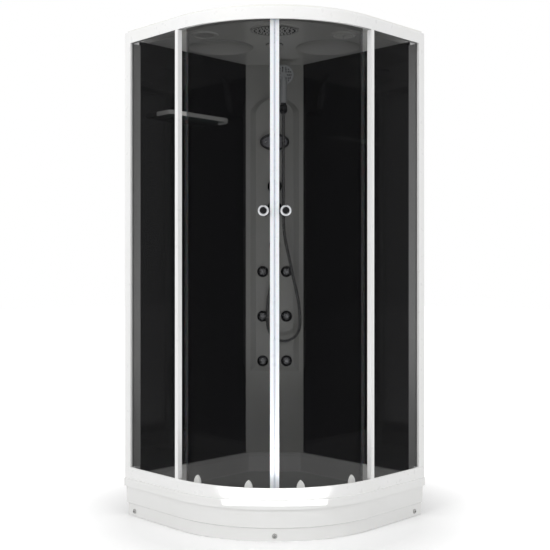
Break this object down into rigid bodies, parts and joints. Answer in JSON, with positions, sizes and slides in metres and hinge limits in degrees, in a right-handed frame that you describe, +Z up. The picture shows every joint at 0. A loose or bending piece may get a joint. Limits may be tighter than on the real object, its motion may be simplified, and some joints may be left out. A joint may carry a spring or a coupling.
{
  "type": "steam shower cabin",
  "caption": "Quadrant corner steam shower cabin with curved sliding doors, low tray, ceiling, body jets, hand shower and overhead rain shower.",
  "frame": {"origin": "on the floor, at the middle of the square plan", "axes": "+Z up; the square back corner is at -X +Y and the rounded entry faces +X -Y"},
  "size_m": [0.9, 0.9, 2.05],
  "materials": {
    "tray_acrylic": "polished white acrylic",
    "frame_white": "satin white powder coat on aluminium extrusion",
    "grey_glass": "5 mm grey tinted safety glass",
    "wall_gloss": "high-gloss black panel",
    "chrome_trim": "polished chrome",
    "clear_shelf": "clear 6 mm shelf glass",
    "white_moulding": "moulded white plastic",
    "seal_strip": "milky bluish sealing strip",
    "hose_metal": "spiral-wound metal hose",
    "plumbing_brass": "cast and drawn brass",
    "under_steel": "galvanised steel"
  },
  "bodies": {
    "root": {"apron_screws": "white_moulding", "bottom_rail": "frame_white", "ceiling": "tray_acrylic", "ceiling_lamp": "white_moulding", "ceiling_speaker": "white_moulding", "column": "tray_acrylic", "control_panel": "chrome_trim", "drain_trap": "white_moulding", "fan_housing": "white_moulding", "front_apron": "tray_acrylic", "handset_bracket": "chrome_trim", "hose_outlet": "chrome_trim", "jet_flanges": "chrome_trim", "left_fixed_glass": "grey_glass", "left_jamb": "frame_white", "left_post": "frame_white", "left_wall_panel": "wall_gloss", "levelling_feet": "under_steel", "mixer_valve": "plumbing_brass", "rain_shower": "chrome_trim", "right_fixed_glass": "grey_glass", "right_jamb": "frame_white", "right_post": "frame_white", "right_wall_panel": "wall_gloss", "shelf_plate": "clear_shelf", "shelf_rail": "chrome_trim", "shower_hose": "hose_metal", "steam_generator": "white_moulding", "top_rail": "frame_white", "tray_basin": "tray_acrylic", "tray_frame": "under_steel"},
    "left_door": {"left_door_glass": "grey_glass", "left_door_seals": "seal_strip", "left_door_knob": "chrome_trim", "left_roller_brackets": "white_moulding"},
    "right_door": {"right_door_glass": "grey_glass", "right_door_seals": "seal_strip", "right_door_knob": "chrome_trim", "right_roller_brackets": "white_moulding"},
    "left_wheel_top_rear": {"left_wheel_top_rear": "white_moulding"},
    "left_wheel_top_front": {"left_wheel_top_front": "white_moulding"},
    "left_wheel_bottom_rear": {"left_wheel_bottom_rear": "white_moulding"},
    "left_wheel_bottom_front": {"left_wheel_bottom_front": "white_moulding"},
    "right_wheel_top_rear": {"right_wheel_top_rear": "white_moulding"},
    "right_wheel_top_front": {"right_wheel_top_front": "white_moulding"},
    "right_wheel_bottom_rear": {"right_wheel_bottom_rear": "white_moulding"},
    "right_wheel_bottom_front": {"right_wheel_bottom_front": "white_moulding"},
    "jet_nozzle_left_high": {"jet_nozzle_left_high": "chrome_trim"},
    "jet_nozzle_left_middle": {"jet_nozzle_left_middle": "chrome_trim"},
    "jet_nozzle_left_low": {"jet_nozzle_left_low": "chrome_trim"},
    "jet_nozzle_right_high": {"jet_nozzle_right_high": "chrome_trim"},
    "jet_nozzle_right_middle": {"jet_nozzle_right_middle": "chrome_trim"},
    "jet_nozzle_right_low": {"jet_nozzle_right_low": "chrome_trim"},
    "drain_cover": {"drain_cover": "chrome_trim"},
    "power_button": {"power_button": "chrome_trim"},
    "diverter_knob": {"diverter_knob": "chrome_trim"},
    "mixer_knob": {"mixer_knob": "chrome_trim"},
    "handset_cradle": {"handset_cradle": "chrome_trim"},
    "hand_shower": {"hand_shower": "chrome_trim"},
    "fan_rotor": {"fan_rotor": "white_moulding"}
  },
  "joints": [
    {"name": "left_door_slide", "type": "hinge", "parent": "root", "child": "left_door", "pos_m": [-0.15, 0.265, 1.1], "axis": [0, 0, -1], "range_deg": [0, 20.4]},
    {"name": "left_wheel_top_rear_spin", "type": "hinge", "parent": "left_door", "child": "left_wheel_top_rear", "pos_m": [-0.02744, -0.40986, 2.0143], "axis": [0.1409, -0.99, 0], "range_deg": [0, 1310]},
    {"name": "left_wheel_top_front_spin", "type": "hinge", "parent": "left_door", "child": "left_wheel_top_front", "pos_m": [0.18462, -0.3292, 2.0143], "axis": [0.5527, -0.8334, 0], "range_deg": [0, 1310]},
    {"name": "left_wheel_bottom_rear_spin", "type": "hinge", "parent": "left_door", "child": "left_wheel_bottom_rear", "pos_m": [-0.02744, -0.40986, 0.1743], "axis": [0.1409, -0.99, 0], "range_deg": [0, 1310]},
    {"name": "left_wheel_bottom_front_spin", "type": "hinge", "parent": "left_door", "child": "left_wheel_bottom_front", "pos_m": [0.18462, -0.3292, 0.1743], "axis": [0.5527, -0.8334, 0], "range_deg": [0, 1310]},
    {"name": "right_door_slide", "type": "hinge", "parent": "root", "child": "right_door", "pos_m": [-0.265, 0.15, 1.1], "axis": [0, 0, 1], "range_deg": [0, 20.4]},
    {"name": "right_wheel_top_rear_spin", "type": "hinge", "parent": "right_door", "child": "right_wheel_top_rear", "pos_m": [0.40986, 0.02744, 2.0143], "axis": [0.99, -0.1409, 0], "range_deg": [-1310, 0]},
    {"name": "right_wheel_top_front_spin", "type": "hinge", "parent": "right_door", "child": "right_wheel_top_front", "pos_m": [0.3292, -0.18462, 2.0143], "axis": [0.8334, -0.5527, 0], "range_deg": [-1310, 0]},
    {"name": "right_wheel_bottom_rear_spin", "type": "hinge", "parent": "right_door", "child": "right_wheel_bottom_rear", "pos_m": [0.40986, 0.02744, 0.1743], "axis": [0.99, -0.1409, 0], "range_deg": [-1310, 0]},
    {"name": "right_wheel_bottom_front_spin", "type": "hinge", "parent": "right_door", "child": "right_wheel_bottom_front", "pos_m": [0.3292, -0.18462, 0.1743], "axis": [0.8334, -0.5527, 0], "range_deg": [-1310, 0]},
    {"name": "jet_left_high_tilt", "type": "hinge", "parent": "root", "child": "jet_nozzle_left_high", "pos_m": [-0.34858, 0.26938, 1.031], "axis": [0.7071, 0.7071, 0], "range_deg": [-15, 15]},
    {"name": "jet_left_middle_tilt", "type": "hinge", "parent": "root", "child": "jet_nozzle_left_middle", "pos_m": [-0.34858, 0.26938, 0.821], "axis": [0.7071, 0.7071, 0], "range_deg": [-15, 15]},
    {"name": "jet_left_low_tilt", "type": "hinge", "parent": "root", "child": "jet_nozzle_left_low", "pos_m": [-0.34858, 0.26938, 0.611], "axis": [0.7071, 0.7071, 0], "range_deg": [-15, 15]},
    {"name": "jet_right_high_tilt", "type": "hinge", "parent": "root", "child": "jet_nozzle_right_high", "pos_m": [-0.26938, 0.34858, 1.031], "axis": [0.7071, 0.7071, 0], "range_deg": [-15, 15]},
    {"name": "jet_right_middle_tilt", "type": "hinge", "parent": "root", "child": "jet_nozzle_right_middle", "pos_m": [-0.26938, 0.34858, 0.821], "axis": [0.7071, 0.7071, 0], "range_deg": [-15, 15]},
    {"name": "jet_right_low_tilt", "type": "hinge", "parent": "root", "child": "jet_nozzle_right_low", "pos_m": [-0.26938, 0.34858, 0.611], "axis": [0.7071, 0.7071, 0], "range_deg": [-15, 15]},
    {"name": "drain_cover_lift", "type": "slide", "parent": "root", "child": "drain_cover", "axis": [0, 0, 1], "range_m": [0, 0.03]},
    {"name": "power_button_press", "type": "slide", "parent": "root", "child": "power_button", "axis": [-0.7071, 0.7071, 0], "range_m": [0, 0.0015], "stiffness_N_per_m": 600},
    {"name": "diverter_turn", "type": "hinge", "parent": "root", "child": "diverter_knob", "pos_m": [-0.29696, 0.29696, 1.432], "axis": [0.7071, -0.7071, 0], "range_deg": [0, 270]},
    {"name": "mixer_turn", "type": "hinge", "parent": "root", "child": "mixer_knob", "pos_m": [-0.29696, 0.29696, 1.326], "axis": [0.7071, -0.7071, 0], "range_deg": [0, 170]},
    {"name": "cradle_tilt", "type": "hinge", "parent": "root", "child": "handset_cradle", "pos_m": [-0.26372, 0.32171, 1.792], "axis": [0.7071, 0.7071, 0], "range_deg": [-10, 20], "deforming": ["shower_hose"]},
    {"name": "hand_shower_lift", "type": "slide", "parent": "handset_cradle", "child": "hand_shower", "axis": [0.1228, -0.1228, 0.9848], "range_m": [0, 0.012], "deforming": ["shower_hose"]},
    {"name": "fan_spin", "type": "hinge", "parent": "root", "child": "fan_rotor", "pos_m": [0.272, 0.134, 2.02], "axis": [0, 0, 1], "continuous": true}
  ],
  "couplings": [
    {"joint": "left_wheel_top_rear_spin", "follows": "left_door_slide", "ratio": 59.644},
    {"joint": "left_wheel_top_front_spin", "follows": "left_door_slide", "ratio": 59.3},
    {"joint": "left_wheel_bottom_rear_spin", "follows": "left_door_slide", "ratio": 59.644},
    {"joint": "left_wheel_bottom_front_spin", "follows": "left_door_slide", "ratio": 59.3},
    {"joint": "right_wheel_top_rear_spin", "follows": "right_door_slide", "ratio": -59.644},
    {"joint": "right_wheel_top_front_spin", "follows": "right_door_slide", "ratio": -59.3},
    {"joint": "right_wheel_bottom_rear_spin", "follows": "right_door_slide", "ratio": -59.644},
    {"joint": "right_wheel_bottom_front_spin", "follows": "right_door_slide", "ratio": -59.3}
  ]
}
